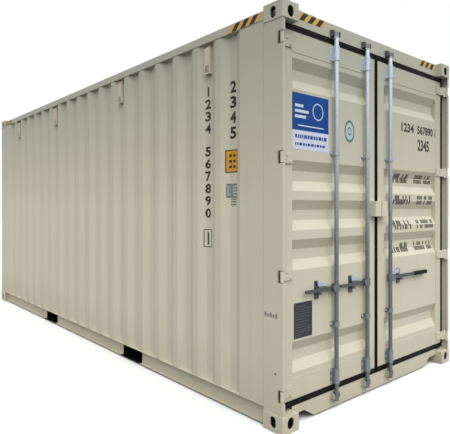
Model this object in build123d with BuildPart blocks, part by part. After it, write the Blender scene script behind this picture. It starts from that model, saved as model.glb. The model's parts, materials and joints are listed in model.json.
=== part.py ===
from build123d import *
import os

os.makedirs("parts", exist_ok=True)

# Steel dry-cargo box with two rear doors, in millimetres.
# X runs along the length with the doors at +X, Z points up,
# and the origin is the middle of the base.

# Overall box, over the corner castings
length = 6058.0
width = 2438.0
height = 2896.0

# Corner castings
casting_length = 178.0
casting_width = 162.0
casting_height = 118.0
casting_wall = 16.0
casting_face_plate = 28.0
casting_post_plate = 12.0
casting_edge_round = 8.0
slot_from_end = 102.5
slot_from_side = 89.5
slot_length = 124.0
slot_width = 63.5
side_hole_width = 51.0
end_hole_width = 63.5
wall_hole_height = 79.5
wall_hole_from_post = 52.0

# Corner posts
post_inset = 4.0
post_wall = 6.0
rear_flange_inset = 5.0
rear_flange_width = 25.0
jamb_side = 49.0
jamb_wall = 12.0
jamb_leg = 10.0
front_post_return = 40.0

# Doors, measured inward from the rear plane of the castings
door_face_inset = 60.0
door_depth = 50.0
door_side_inset = 63.0
door_foot_gap = 46.0
door_head_gap = 45.0
door_stile = 100.0
door_rail = 143.0
door_sheet = 2.5
door_panel_setback = 2.0
door_running_gap = 5.0
door_meeting_half = 22.0
door_meeting_gap = 7.0

# Pressed recesses, shared by the walls and the doors
recess_depth = 36.0
recess_slope = 70.0
recess_flat = 72.0
wall_pitch = 278.0
wall_end_flat = 200.0
door_pitch = 277.0
door_end_recess = 147.0

# Gaskets
gasket_thick = 10.0
gasket_proud = 2.0
gasket_side_lip = 29.0
gasket_top_lip = 38.0
gasket_bottom_lip = 41.0

# Hinges
hinge_inset = 21.0
hinge_side = 18.0
hinge_from_bottom = 68.0
hinge_from_top = 86.0
hinge_count = 4
hinge_notch_height = 86.0
hinge_notch_depth = 52.0
hinge_blade_height = 74.0
hinge_blade_thick = 9.0
hinge_blade_reach = 158.0
knuckle_radius = 14.0
knuckle_sides = 12
pin_radius = 7.0
pin_clearance = 0.3
lug_thick = 12.0
lug_radius = 15.0
lug_sides = 12

# Side walls, end wall and roof sheet
wall_sheet = 2.0
wall_inset = 8.0
wall_bottom = 150.0
front_pitch = 250.0
front_end_flat = 100.0
front_recess_depth = 45.0
front_recess_slope = 18.0
front_recess_flat = 104.0
front_wall_inset = 10.0
roof_sheet = 2.0
roof_rib_height = 18.0
roof_rib_flat = 91.0
roof_rib_slope = 13.5
roof_pitch = 209.0
roof_end_flat = 160.0
roof_margin = 16.0

# Rails
top_rail_size = 60.0
top_rail_wall = 3.0
top_rail_drop = 30.0
rail_wall = 4.5
rail_bottom = 17.0
rail_top_flange = 48.0
rail_bottom_lip = 30.0
end_rail_drop = 7.0
front_sill_depth = 50.0
front_sill_top = 150.0

# Rear frame
sill_top = 138.0
sill_notch_width = 240.0
sill_notch_flat = 130.0
sill_notch_top = 80.0
sill_wall = 4.5
header_height = 109.0
header_depth = 100.0
header_stop = 42.0
frame_plate = 4.0

# Base
floor_top = 167.0
floor_thick = 28.0
floor_side_gap = 58.0
floor_panels = 5
floor_joint = 2.0
cross_wall = 4.0
cross_top_flange = 45.0
cross_bottom_flange = 40.0
cross_inner_places = (140.0, 420.0, 700.0)
cross_outer_start = 1290.0
cross_outer_pitch = 285.0
cross_end_gap = 200.0
pocket_spacing = 2050.0
pocket_width = 360.0
pocket_height = 115.0
pocket_wall = 5.0
pocket_strap_length = 180.0

# Ventilators
vent_recesses = (-8, -3, 3, 8)
vent_width = 66.0
vent_height = 241.0
vent_wall = 3.0
vent_face_inset = 14.0
vent_top_drop = 43.0

# Roof corner plates
corner_plate_width = 260.0
corner_plate_thick = 4.0

# Lock rods, left to right as seen from outside
rod_places = (-585.0, -172.0, 178.0)
rod_radius = 16.0
rod_inset = 31.0
rod_clearance = 0.4
rod_below_sill = 68.0
rod_past_header = 42.0
cam_height = 44.0
cam_radius = 18.0
cam_nose = 27.0
cam_tip_radius = 7.0
keeper_wall = 9.0
keeper_height = 56.0
keeper_base = 5.0
keeper_proud = 36.0
keeper_taper = 10.0
guide_heights = (641.0, 1919.0)
guide_height = 34.0
bracket_height = 110.0
bracket_from_bottom = 66.0
bracket_from_top = 72.0
bracket_width = 84.0
bracket_round = 12.0
bracket_plate = 4.0
collar_radius = 22.0
collar_sides = 16

# Handles
handle_height = 916.0
handle_thick = 12.0
handle_lengths = (364.0, 370.0, 625.0)
handle_sides = (-1, -1, 1)
handle_pivot = 42.0
handle_root_radius = 15.0
handle_tip_radius = 11.0
handle_grip_length = 218.0
handle_grip_thick = 24.0
handle_grip_depth = 34.0
hub_height = 56.0
hub_cheek = 9.0
hub_cheek_gap = 1.0
hub_pin_radius = 6.0
hub_radius = 23.0
hub_sides = 12
retainer_offsets = (204.0, 196.0, 172.0)
retainer_width = 46.0
retainer_height = 130.0
retainer_plate = 5.0
retainer_shelf = 14.0
retainer_catch_radius = 14.0
retainer_catch_thick = 8.0

# Lock box on the meeting stiles
lock_box_height = 125.0
lock_box_middle = 1501.0
lock_box_width = 180.0
lock_box_front = 6.0
lock_box_wall = 3.0
lock_box_foot = 4.0

# Worked-out places
half_length = length / 2
half_width = width / 2
rear = half_length
door_back = door_face_inset + door_depth
panel_face = door_face_inset + door_panel_setback
jamb_front = door_face_inset + gasket_thick - gasket_proud + door_running_gap
post_depth = casting_length
post_bottom = casting_height
post_top = height - casting_height
gasket_front = door_face_inset - gasket_proud
pin_x = rear - hinge_inset
pin_y = half_width - hinge_side
rod_x = rear - rod_inset
end_rail_top = height - end_rail_drop
header_bottom = end_rail_top - header_height
door_bottom = sill_top + door_foot_gap
door_top = header_bottom - door_head_gap
door_middle = (door_bottom + door_top) / 2
hinge_low = door_bottom + hinge_from_bottom
hinge_step = (door_top - hinge_from_top - hinge_low) / (hinge_count - 1)
hinge_heights = [hinge_low + index * hinge_step for index in range(hinge_count)]
rod_bottom = sill_top - rod_below_sill
rod_top = header_bottom + rod_past_header
bracket_heights = (door_bottom + bracket_from_bottom, door_top - bracket_from_top)
top_rail_top = height - top_rail_drop
top_rail_bottom = top_rail_top - top_rail_size
rail_web = post_inset + rail_top_flange
rail_end = half_length - casting_length
pocket_places = (-pocket_spacing / 2, pocket_spacing / 2)
cross_bottom = rail_bottom
cross_top = floor_top - floor_thick
cross_length = width - 2 * (rail_web + rail_wall)


def finish(part, name):
    part.label = name
    export_step(part, "parts/" + name + ".step")


def face(points):
    Polygon(*points, align=None)


def rear_points(pairs, side):
    return [(rear - inset, side * (half_width - from_side)) for inset, from_side in pairs]


def block(x_range, y_range, z_range, mode=Mode.ADD):
    size = [abs(pair[1] - pair[0]) for pair in (x_range, y_range, z_range)]
    middle = [(pair[0] + pair[1]) / 2 for pair in (x_range, y_range, z_range)]
    with Locations(tuple(middle)):
        Box(*size, mode=mode)


def corner_castings(face_z, post_z):
    inward = 1 if post_z > face_z else -1
    middle_z = (face_z + post_z) / 2
    hole_z = post_z - inward * wall_hole_from_post
    x_low = half_length - casting_length
    y_low = half_width - casting_width
    with BuildPart() as castings:
        block((x_low, half_length), (y_low, half_width), (face_z, post_z))
        outer = castings.edges().filter_by(Axis.Z).sort_by(Axis.X)[-2:].sort_by(Axis.Y)[-1:]
        fillet(outer, casting_edge_round)
        block(
            (x_low + casting_wall, half_length - casting_wall),
            (y_low + casting_wall, half_width - casting_wall),
            (face_z + inward * casting_face_plate, post_z - inward * casting_post_plate),
            mode=Mode.SUBTRACT,
        )
        with BuildSketch(Plane.XY.offset(middle_z)):
            with Locations((half_length - slot_from_end, half_width - slot_from_side)):
                SlotOverall(slot_length, slot_width)
        extrude(amount=-inward * casting_height, mode=Mode.SUBTRACT)
        side_plane = Plane(
            origin=(half_length - slot_from_side, half_width, hole_z), x_dir=(0, 0, 1), z_dir=(0, 1, 0)
        )
        with BuildSketch(side_plane):
            SlotOverall(wall_hole_height, side_hole_width)
        extrude(amount=-casting_wall, mode=Mode.SUBTRACT)
        end_plane = Plane(
            origin=(half_length, half_width - casting_width / 2, hole_z), x_dir=(0, 0, 1), z_dir=(1, 0, 0)
        )
        with BuildSketch(end_plane):
            SlotOverall(wall_hole_height, end_hole_width)
        extrude(amount=-casting_wall, mode=Mode.SUBTRACT)
        mirror(about=Plane.XZ)
        mirror(about=Plane.YZ)
    return castings.part


def rear_post(side):
    section = [
        (rear_flange_inset, post_inset + rear_flange_width),
        (rear_flange_inset, post_inset),
        (post_depth, post_inset),
        (post_depth, jamb_side - jamb_wall),
        (post_depth - post_wall, jamb_side - jamb_wall),
        (post_depth - post_wall, post_inset + post_wall),
        (rear_flange_inset + post_wall, post_inset + post_wall),
        (rear_flange_inset + post_wall, post_inset + rear_flange_width),
    ]
    with BuildPart() as post:
        with BuildSketch(Plane.XY.offset(post_bottom)):
            face(rear_points(section, side))
        extrude(amount=post_top - post_bottom)
        for z in hinge_heights:
            block(
                (rear, rear - hinge_notch_depth),
                (side * half_width, side * (half_width - jamb_side)),
                (z - hinge_notch_height / 2, z + hinge_notch_height / 2),
                mode=Mode.SUBTRACT,
            )
    return post.part


def door_jamb(side):
    section = [
        (jamb_front, post_inset + post_wall),
        (jamb_front, jamb_side),
        (post_depth, jamb_side),
        (post_depth, jamb_side - jamb_wall),
        (jamb_front + jamb_leg, jamb_side - jamb_wall),
        (jamb_front + jamb_leg, post_inset + post_wall),
    ]
    with BuildPart() as jamb:
        with BuildSketch(Plane.XY.offset(post_bottom)):
            face(rear_points(section, side))
        extrude(amount=post_top - post_bottom)
    return jamb.part


def hinge_lugs():
    with BuildPart() as lugs:
        for z in hinge_heights:
            for end in (-1, 1):
                near = z + end * hinge_notch_height / 2
                with BuildSketch(Plane.XY.offset(near)):
                    with Locations((pin_x, pin_y)):
                        RegularPolygon(lug_radius, lug_sides)
                    with Locations((pin_x, half_width - post_inset - post_wall)):
                        Rectangle(2 * lug_radius, 2 * (hinge_side - post_inset - post_wall))
                    with Locations((pin_x, half_width - post_inset)):
                        Rectangle(3 * lug_radius, 2 * post_wall, mode=Mode.SUBTRACT)
                    with Locations((rear - rear_flange_inset, pin_y)):
                        Rectangle(2 * post_wall, 3 * lug_radius, mode=Mode.SUBTRACT)
                extrude(amount=end * lug_thick)
            with Locations((pin_x, pin_y, z)):
                Cylinder(pin_radius, hinge_notch_height + lug_thick)
        mirror(about=Plane.XZ)
    return lugs.part


def front_corner_posts():
    front = -half_length
    inner = post_inset + post_wall
    section = [
        (post_inset, post_inset),
        (post_depth, post_inset),
        (post_depth, front_post_return),
        (post_depth - post_wall, front_post_return),
        (post_depth - post_wall, inner),
        (inner, inner),
        (inner, casting_width),
        (post_inset, casting_width),
    ]
    points = [(front + from_end, half_width - from_side) for from_end, from_side in section]
    with BuildPart() as posts:
        with BuildSketch(Plane.XY.offset(post_bottom)):
            face(points)
        extrude(amount=post_top - post_bottom)
        mirror(about=Plane.XZ)
    return posts.part


def corrugation(start, end, middles, flat, slope, depth):
    points = [(start, 0.0)]
    for middle in middles:
        points.append((middle - flat / 2 - slope, 0.0))
        points.append((middle - flat / 2, depth))
        points.append((middle + flat / 2, depth))
        points.append((middle + flat / 2 + slope, 0.0))
    points.append((end, 0.0))
    return points


def sheet(points, thick):
    return points + [(along, across + thick) for along, across in reversed(points)]


def spaced(span, end_flat, each, pitch):
    count = int((span - 2 * end_flat - each) / pitch) + 1
    return [(index - (count - 1) / 2) * pitch for index in range(count)]


def side_wall(side):
    line = corrugation(
        -rail_end, rail_end, spaced(2 * rail_end, wall_end_flat, recess_flat + 2 * recess_slope, wall_pitch),
        recess_flat, recess_slope, recess_depth,
    )
    outline = sheet(line, wall_sheet)
    with BuildPart() as wall:
        with BuildSketch(Plane.XY.offset(wall_bottom)):
            face([(x, side * (half_width - wall_inset - v)) for x, v in outline])
        extrude(amount=top_rail_bottom - wall_bottom)
    return wall.part


def front_wall():
    edge = half_width - casting_width
    line = corrugation(
        -edge, edge,
        spaced(2 * edge, front_end_flat, front_recess_flat + 2 * front_recess_slope, front_pitch),
        front_recess_flat, front_recess_slope, front_recess_depth,
    )
    outline = sheet(line, wall_sheet)
    with BuildPart() as wall:
        with BuildSketch(Plane.XY.offset(front_sill_top)):
            face([(-half_length + front_wall_inset + u, y) for y, u in outline])
        extrude(amount=end_rail_top - top_rail_size - front_sill_top)
    return wall.part


def top_side_rails():
    with BuildPart() as rails:
        middle = (0, half_width - post_inset - top_rail_size / 2, top_rail_top - top_rail_size / 2)
        inner = top_rail_size - 2 * top_rail_wall
        with Locations(middle):
            Box(2 * rail_end, top_rail_size, top_rail_size)
            Box(2 * rail_end, inner, inner, mode=Mode.SUBTRACT)
        mirror(about=Plane.XZ)
    return rails.part


def bottom_side_rail(side):
    section = [
        (post_inset, wall_bottom),
        (post_inset, wall_bottom - rail_wall),
        (rail_web, wall_bottom - rail_wall),
        (rail_web, rail_bottom + rail_wall),
        (rail_web - rail_bottom_lip, rail_bottom + rail_wall),
        (rail_web - rail_bottom_lip, rail_bottom),
        (rail_web + rail_wall, rail_bottom),
        (rail_web + rail_wall, wall_bottom),
    ]
    plane = Plane(origin=(-rail_end, 0, 0), x_dir=(0, 1, 0), z_dir=(1, 0, 0))
    with BuildPart() as rail:
        with BuildSketch(plane):
            face([(side * (half_width - v), z) for v, z in section])
        extrude(amount=2 * rail_end)
        for x in pocket_places:
            block(
                (x - pocket_width / 2, x + pocket_width / 2),
                (side * half_width, side * (half_width - rail_web - 2 * rail_wall)),
                (0, rail_bottom + pocket_height),
                mode=Mode.SUBTRACT,
            )
    return rail.part


def forklift_pockets():
    reach = half_width - rail_web - rail_wall
    ceiling = rail_bottom + pocket_height
    with BuildPart() as pockets:
        for x in pocket_places:
            low = x - pocket_width / 2
            high = x + pocket_width / 2
            block((low - pocket_wall, high + pocket_wall), (-reach, reach), (rail_bottom, ceiling + pocket_wall))
            block((low, high), (-reach, reach), (rail_bottom, ceiling), mode=Mode.SUBTRACT)
            for side in (-1, 1):
                block(
                    (low, high),
                    (side * reach, side * (reach - pocket_strap_length)),
                    (rail_bottom, rail_bottom + pocket_wall),
                )
    return pockets.part


def cross_places():
    count = int((half_length - cross_end_gap - cross_outer_start) / cross_outer_pitch) + 1
    outer = [cross_outer_start + index * cross_outer_pitch for index in range(count)]
    right = list(cross_inner_places) + outer
    return [-x for x in reversed(right)] + right


def cross_members():
    plane = Plane(origin=(0, -cross_length / 2, 0), x_dir=(1, 0, 0), z_dir=(0, -1, 0))
    with BuildPart() as members:
        for x in cross_places():
            section = [
                (x, cross_bottom),
                (x + cross_bottom_flange, cross_bottom),
                (x + cross_bottom_flange, cross_bottom + cross_wall),
                (x + cross_wall, cross_bottom + cross_wall),
                (x + cross_wall, cross_top - cross_wall),
                (x + cross_top_flange, cross_top - cross_wall),
                (x + cross_top_flange, cross_top),
                (x, cross_top),
            ]
            with BuildSketch(plane):
                face(section)
            extrude(amount=-cross_length)
    return members.part


def floor_boards():
    start = -half_length + front_wall_inset + front_recess_depth + wall_sheet
    end = rear - door_back - door_running_gap - frame_plate
    panel = (end - start + floor_joint) / floor_panels
    with BuildPart() as floor:
        for index in range(floor_panels):
            low = start + index * panel
            block(
                (low, low + panel - floor_joint),
                (-half_width + floor_side_gap, half_width - floor_side_gap),
                (floor_top - floor_thick, floor_top),
            )
    return floor.part


def door_sill():
    stop = door_back + door_running_gap
    section = [
        (door_face_inset, rail_bottom),
        (door_face_inset, sill_top),
        (stop, sill_top),
        (stop, floor_top - floor_thick),
        (stop + frame_plate, floor_top - floor_thick),
        (stop + frame_plate, sill_top - sill_wall),
        (door_face_inset + sill_wall, sill_top - sill_wall),
        (door_face_inset + sill_wall, rail_bottom + sill_wall),
        (stop, rail_bottom + sill_wall),
        (stop, rail_bottom),
    ]
    reach = half_width - casting_width
    plane = Plane(origin=(0, -reach, 0), x_dir=(1, 0, 0), z_dir=(0, -1, 0))
    with BuildPart() as sill:
        with BuildSketch(plane):
            face([(rear - u, z) for u, z in section])
        extrude(amount=-2 * reach)
        for side in (-1, 1):
            notch_plane = Plane(origin=(rear, 0, 0), x_dir=(0, 1, 0), z_dir=(1, 0, 0))
            with BuildSketch(notch_plane):
                face([
                    (side * reach, 0),
                    (side * reach, sill_notch_top),
                    (side * (reach - sill_notch_flat), sill_notch_top),
                    (side * (reach - sill_notch_width), rail_bottom),
                    (side * (reach - sill_notch_width), 0),
                ])
            extrude(amount=-post_depth, mode=Mode.SUBTRACT)
    return sill.part


def door_header():
    stop = door_back + door_running_gap
    back = door_face_inset + header_depth
    reach = half_width - casting_width
    section = [
        (door_face_inset, header_bottom),
        (door_face_inset, end_rail_top),
        (back, end_rail_top),
        (back, header_bottom - header_stop),
        (stop, header_bottom - header_stop),
        (stop, header_bottom),
    ]
    inner = [
        (door_face_inset + frame_plate, header_bottom + frame_plate),
        (door_face_inset + frame_plate, end_rail_top - frame_plate),
        (back - frame_plate, end_rail_top - frame_plate),
        (back - frame_plate, header_bottom - header_stop + frame_plate),
        (stop + frame_plate, header_bottom - header_stop + frame_plate),
        (stop + frame_plate, header_bottom + frame_plate),
    ]
    plane = Plane(origin=(0, -reach, 0), x_dir=(1, 0, 0), z_dir=(0, -1, 0))
    with BuildPart() as header:
        with BuildSketch(plane):
            face([(rear - u, z) for u, z in section])
        extrude(amount=-2 * reach)
        with BuildSketch(plane):
            face([(rear - u, z) for u, z in inner])
        extrude(amount=-2 * reach, mode=Mode.SUBTRACT)
    return header.part


def front_top_rail():
    reach = half_width - casting_width
    with BuildPart() as rail:
        block(
            (-half_length + post_inset, -half_length + post_inset + top_rail_size),
            (-reach, reach),
            (end_rail_top - top_rail_size, end_rail_top),
        )
        block(
            (-half_length + post_inset + top_rail_wall, -half_length + post_inset + top_rail_size - top_rail_wall),
            (-reach, reach),
            (end_rail_top - top_rail_size + top_rail_wall, end_rail_top - top_rail_wall),
            mode=Mode.SUBTRACT,
        )
    return rail.part


def front_bottom_rail():
    reach = half_width - casting_width
    front = -half_length + post_inset
    section = [
        (front, rail_bottom),
        (front + front_sill_depth, rail_bottom),
        (front + front_sill_depth, rail_bottom + frame_plate),
        (front + frame_plate, rail_bottom + frame_plate),
        (front + frame_plate, front_sill_top - frame_plate),
        (front + front_sill_depth, front_sill_top - frame_plate),
        (front + front_sill_depth, front_sill_top),
        (front, front_sill_top),
    ]
    plane = Plane(origin=(0, -reach, 0), x_dir=(1, 0, 0), z_dir=(0, -1, 0))
    with BuildPart() as rail:
        with BuildSketch(plane):
            face(section)
        extrude(amount=-2 * reach)
    return rail.part


def roof_panel():
    front_end = -half_length + post_inset + top_rail_size
    rear_end = rear - door_face_inset - header_depth
    reach = half_width - post_inset
    rib_reach = half_width - post_inset - top_rail_size - roof_margin
    base = top_rail_top
    corner_reach = half_width - casting_width
    ribs = spaced(2 * rail_end, roof_end_flat, roof_rib_flat + 2 * roof_rib_slope, roof_pitch)
    line = corrugation(-rail_end, rail_end, ribs, roof_rib_flat, roof_rib_slope, roof_rib_height)
    plane = Plane(origin=(0, -rib_reach, base), x_dir=(1, 0, 0), z_dir=(0, -1, 0))
    with BuildPart() as roof:
        with BuildSketch(plane):
            face(sheet(line, roof_sheet))
        extrude(amount=-2 * rib_reach)
        block((front_end, -rail_end), (-corner_reach, corner_reach), (base, base + roof_sheet))
        block((rail_end, rear_end), (-corner_reach, corner_reach), (base, base + roof_sheet))
        for side in (-1, 1):
            block((-rail_end, rail_end), (side * rib_reach, side * reach), (base, base + roof_sheet))
            cap_plane = Plane(origin=(0, side * rib_reach, base), x_dir=(1, 0, 0), z_dir=(0, -1, 0))
            with BuildSketch(cap_plane):
                for x in ribs:
                    foot = roof_rib_flat / 2 + roof_rib_slope
                    crest = roof_rib_flat / 2
                    top = roof_rib_height + roof_sheet
                    face([(x - foot, 0), (x - crest, top), (x + crest, top), (x + foot, 0)])
            extrude(amount=side * roof_sheet)
    return roof.part


def roof_corner_plates():
    y_high = half_width - casting_width
    with BuildPart() as plates:
        block(
            (rear - post_depth, rear - door_face_inset),
            (y_high - corner_plate_width, y_high),
            (end_rail_top, end_rail_top + corner_plate_thick),
        )
        block(
            (-half_length + post_inset, -half_length + post_inset + top_rail_size),
            (y_high - corner_plate_width, y_high),
            (end_rail_top, end_rail_top + corner_plate_thick),
        )
        mirror(about=Plane.XZ)
    return plates.part


def ventilators():
    back = half_width - wall_inset - recess_depth
    front = half_width - vent_face_inset
    top = top_rail_bottom
    bottom = top - vent_height
    with BuildPart() as vents:
        for recess in vent_recesses:
            plane = Plane(
                origin=(recess * wall_pitch - vent_width / 2, 0, 0), x_dir=(0, 1, 0), z_dir=(1, 0, 0)
            )
            with BuildSketch(plane):
                face([(back, bottom), (front, bottom), (front, top - vent_top_drop), (back, top)])
            extrude(amount=vent_width)
            block(
                (recess * wall_pitch - vent_width / 2 + vent_wall, recess * wall_pitch + vent_width / 2 - vent_wall),
                (back + vent_wall, front - vent_wall),
                (bottom - vent_wall, top - 2 * vent_top_drop),
                mode=Mode.SUBTRACT,
            )
        mirror(about=Plane.XZ)
    return vents.part


def door_span(side):
    hinge_edge = half_width - door_side_inset
    return (side * door_meeting_half, side * hinge_edge)


def door_frame(side):
    near, far = door_span(side)
    with BuildPart() as frame:
        block((rear - door_back, rear - door_face_inset), (near, far), (door_bottom, door_top))
        block(
            (rear - door_back, rear - door_face_inset),
            (near + side * door_stile, far - side * door_stile),
            (door_bottom + door_rail, door_top - door_rail),
            mode=Mode.SUBTRACT,
        )
    return frame.part


def door_panel(side):
    near, far = door_span(side)
    low = door_bottom + door_rail
    high = door_top - door_rail
    middles = [
        low + door_end_recess,
        door_middle - door_pitch,
        door_middle,
        door_middle + door_pitch,
        high - door_end_recess,
    ]
    line = corrugation(low, high, middles, recess_flat, recess_slope, recess_depth)
    outline = sheet(line, door_sheet)
    start = near + side * door_stile
    reach = abs(far - near) - 2 * door_stile
    plane = Plane(origin=(0, start, 0), x_dir=(1, 0, 0), z_dir=(0, -1, 0))
    with BuildPart() as panel:
        with BuildSketch(plane):
            face([(rear - panel_face - u, z) for z, u in outline])
        extrude(amount=-side * reach)
    return panel.part


def door_gasket(side):
    near, far = door_span(side)
    hinge_edge = far + side * gasket_side_lip
    meeting_edge = side * door_meeting_gap / 2
    with BuildPart() as gasket:
        block(
            (rear - gasket_front, rear - gasket_front - gasket_thick),
            (meeting_edge, hinge_edge),
            (door_bottom - gasket_bottom_lip, door_top + gasket_top_lip),
        )
        block(
            (rear, rear - door_back),
            (near, far),
            (door_bottom, door_top),
            mode=Mode.SUBTRACT,
        )
    return gasket.part


def hinge_blades(side):
    reach = hinge_blade_reach
    half_thick = hinge_blade_thick / 2
    on_door = door_face_inset - hinge_blade_thick
    bend = door_side_inset + hinge_blade_thick
    section = [
        (hinge_inset - half_thick, hinge_side + half_thick),
        (on_door, bend),
        (on_door, reach),
        (door_face_inset, reach),
        (door_face_inset, door_side_inset),
        (gasket_front, door_side_inset),
        (hinge_inset + half_thick, hinge_side - half_thick),
    ]
    with BuildPart() as blades:
        for z in hinge_heights:
            with BuildSketch(Plane.XY.offset(z - hinge_blade_height / 2)):
                face(rear_points(section, side))
                with Locations((pin_x, side * pin_y)):
                    RegularPolygon(knuckle_radius, knuckle_sides)
                    Circle(pin_radius + pin_clearance, mode=Mode.SUBTRACT)
            extrude(amount=hinge_blade_height)
    return blades.part


def rod_brackets(rods):
    with BuildPart() as brackets:
        for rod in rods:
            y = rod_places[rod]
            for z in bracket_heights + guide_heights:
                on_rail = z in bracket_heights
                tall = bracket_height if on_rail else guide_height
                seat = rear - (door_face_inset if on_rail else panel_face)
                plate_plane = Plane(origin=(seat, y, z), x_dir=(0, 1, 0), z_dir=(1, 0, 0))
                with BuildSketch(plate_plane):
                    RectangleRounded(bracket_width, tall, bracket_round)
                extrude(amount=rear - door_face_inset + bracket_plate - seat)
                with BuildSketch(Plane.XY.offset(z - tall / 2)):
                    with Locations((rod_x, y)):
                        RegularPolygon(collar_radius, collar_sides)
                    with Locations(((rod_x + seat) / 2, y)):
                        Rectangle(rod_x - seat, 2 * rod_radius)
                    with Locations((rod_x, y)):
                        Circle(rod_radius + rod_clearance, mode=Mode.SUBTRACT)
                extrude(amount=tall)
    return brackets.part


def lock_rod(rod):
    y = rod_places[rod]
    side = handle_sides[rod]
    pivot_y = y + side * handle_pivot
    gap = handle_thick / 2 + hub_cheek_gap
    with BuildPart() as bar:
        with Locations((rod_x, y, (rod_bottom + rod_top) / 2)):
            Cylinder(rod_radius, rod_top - rod_bottom)
        for z in (rod_bottom, rod_top - cam_height):
            with BuildSketch(Plane.XY.offset(z)):
                with Locations((rod_x, y)):
                    Circle(cam_radius)
                with Locations((rod_x, y + side * (cam_nose - cam_tip_radius))):
                    Circle(cam_tip_radius)
                make_hull()
            extrude(amount=cam_height)
        with BuildSketch(Plane.XY.offset(handle_height - hub_height / 2)):
            with Locations((rod_x, y)):
                RegularPolygon(hub_radius, hub_sides)
        extrude(amount=hub_height)
        for cheek in (-1, 1):
            x_near = rod_x + cheek * gap
            block(
                (x_near, x_near + cheek * hub_cheek),
                (y, pivot_y),
                (handle_height - hub_height / 2, handle_height + hub_height / 2),
            )
            cheek_plane = Plane(
                origin=(x_near, pivot_y, handle_height), x_dir=(0, 1, 0), z_dir=(cheek, 0, 0)
            )
            with BuildSketch(cheek_plane):
                Circle(handle_root_radius)
            extrude(amount=hub_cheek)
        with Locations((rod_x, pivot_y, handle_height)):
            Cylinder(hub_pin_radius, 2 * (gap + hub_cheek), rotation=(0, 90, 0))
    return bar.part


def lock_handle(rod):
    y = rod_places[rod]
    side = handle_sides[rod]
    pivot_y = y + side * handle_pivot
    tip_y = y + side * handle_lengths[rod]
    plane = Plane(origin=(rod_x - handle_thick / 2, 0, 0), x_dir=(0, 1, 0), z_dir=(1, 0, 0))
    with BuildPart() as handle:
        with BuildSketch(plane):
            with Locations((pivot_y, handle_height)):
                Circle(handle_root_radius)
            with Locations((tip_y - side * handle_tip_radius, handle_height)):
                Circle(handle_tip_radius)
            make_hull()
            with Locations((pivot_y, handle_height)):
                Circle(hub_pin_radius + pin_clearance, mode=Mode.SUBTRACT)
        extrude(amount=handle_thick)
    return handle.part


def handle_grip(rod):
    y = rod_places[rod]
    side = handle_sides[rod]
    tip_y = y + side * handle_lengths[rod]
    start_y = tip_y - side * handle_grip_length
    with BuildPart() as grip:
        block(
            (rod_x - handle_grip_thick / 2, rod_x + handle_grip_thick / 2),
            (start_y, tip_y),
            (handle_height - handle_grip_depth / 2, handle_height + handle_grip_depth / 2),
        )
        fillet(grip.edges().filter_by(Axis.Y), handle_grip_thick / 4)
        add(lock_handle(rod), mode=Mode.SUBTRACT)
    return grip.part


def handle_retainers(rods):
    shelf_top = handle_height - handle_root_radius - door_running_gap
    plate_top = handle_height + retainer_height / 2
    catch_z = plate_top - retainer_catch_radius
    with BuildPart() as retainers:
        for rod in rods:
            y = rod_places[rod] + handle_sides[rod] * retainer_offsets[rod]
            low = y - retainer_width / 2
            high = y + retainer_width / 2
            block(
                (rear - panel_face, rear - door_face_inset + retainer_plate),
                (low, high),
                (handle_height - retainer_height / 2, plate_top),
            )
            block(
                (rear - panel_face, rod_x + handle_thick / 2),
                (low, high),
                (shelf_top - retainer_shelf, shelf_top),
            )
            catch_plane = Plane(
                origin=(rear - door_face_inset, y, catch_z), x_dir=(0, 1, 0), z_dir=(1, 0, 0)
            )
            with BuildSketch(catch_plane):
                Circle(retainer_catch_radius)
            extrude(amount=retainer_plate + retainer_catch_thick)
    return retainers.part


def cam_keepers():
    opening = cam_nose + door_running_gap
    with BuildPart() as keepers:
        for rod, y in enumerate(rod_places):
            for z in (sill_top - keeper_height - keeper_base, header_bottom + keeper_base):
                block(
                    (rear - door_face_inset, rear - door_face_inset + keeper_base),
                    (y - opening - keeper_wall, y + opening + keeper_wall),
                    (z, z + keeper_height),
                )
                seat = rear - door_face_inset
                for end in (-1, 1):
                    ear_plane = Plane(origin=(0, y + end * opening, 0), x_dir=(1, 0, 0), z_dir=(0, -1, 0))
                    with BuildSketch(ear_plane):
                        face([
                            (seat, z),
                            (seat + keeper_proud, z + keeper_taper),
                            (seat + keeper_proud, z + keeper_height - keeper_taper),
                            (seat, z + keeper_height),
                        ])
                    extrude(amount=-end * keeper_wall)
    return keepers.part


def lock_box(side):
    front = rear - lock_box_front
    back = rear - gasket_front + lock_box_foot
    near = side * door_meeting_gap / 2
    far = side * lock_box_width / 2
    low = lock_box_middle - lock_box_height / 2
    high = lock_box_middle + lock_box_height / 2
    with BuildPart() as box:
        block((back, front), (near, far), (low, high))
        block(
            (back + lock_box_wall, front - lock_box_wall),
            (near - side * lock_box_wall, far - side * lock_box_wall),
            (low - lock_box_wall, high - lock_box_wall),
            mode=Mode.SUBTRACT,
        )
        block(
            (rear - door_face_inset, back),
            (side * (door_meeting_half + lock_box_wall), far),
            (low, high),
        )
    return box.part


finish(corner_castings(0, casting_height), "lower_corner_castings")
finish(corner_castings(height, height - casting_height), "upper_corner_castings")
for hand, side in (("left", -1), ("right", 1)):
    finish(rear_post(side), hand + "_rear_post")
    finish(door_jamb(side), hand + "_door_jamb")
    finish(side_wall(side), hand + "_side_wall")
    finish(bottom_side_rail(side), hand + "_bottom_rail")
    finish(door_frame(side), hand + "_door_frame")
    finish(door_panel(side), hand + "_door_panel")
    finish(door_gasket(side), hand + "_door_gasket")
    finish(hinge_blades(side), hand + "_hinge_blades")
    finish(lock_box(side), hand + "_lock_box")
finish(hinge_lugs(), "hinge_lugs")
finish(front_corner_posts(), "front_corner_posts")
finish(top_side_rails(), "top_side_rails")
finish(front_wall(), "front_wall")
finish(front_top_rail(), "front_top_rail")
finish(front_bottom_rail(), "front_bottom_rail")
finish(door_header(), "door_header")
finish(door_sill(), "door_sill")
finish(roof_panel(), "roof_panel")
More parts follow.
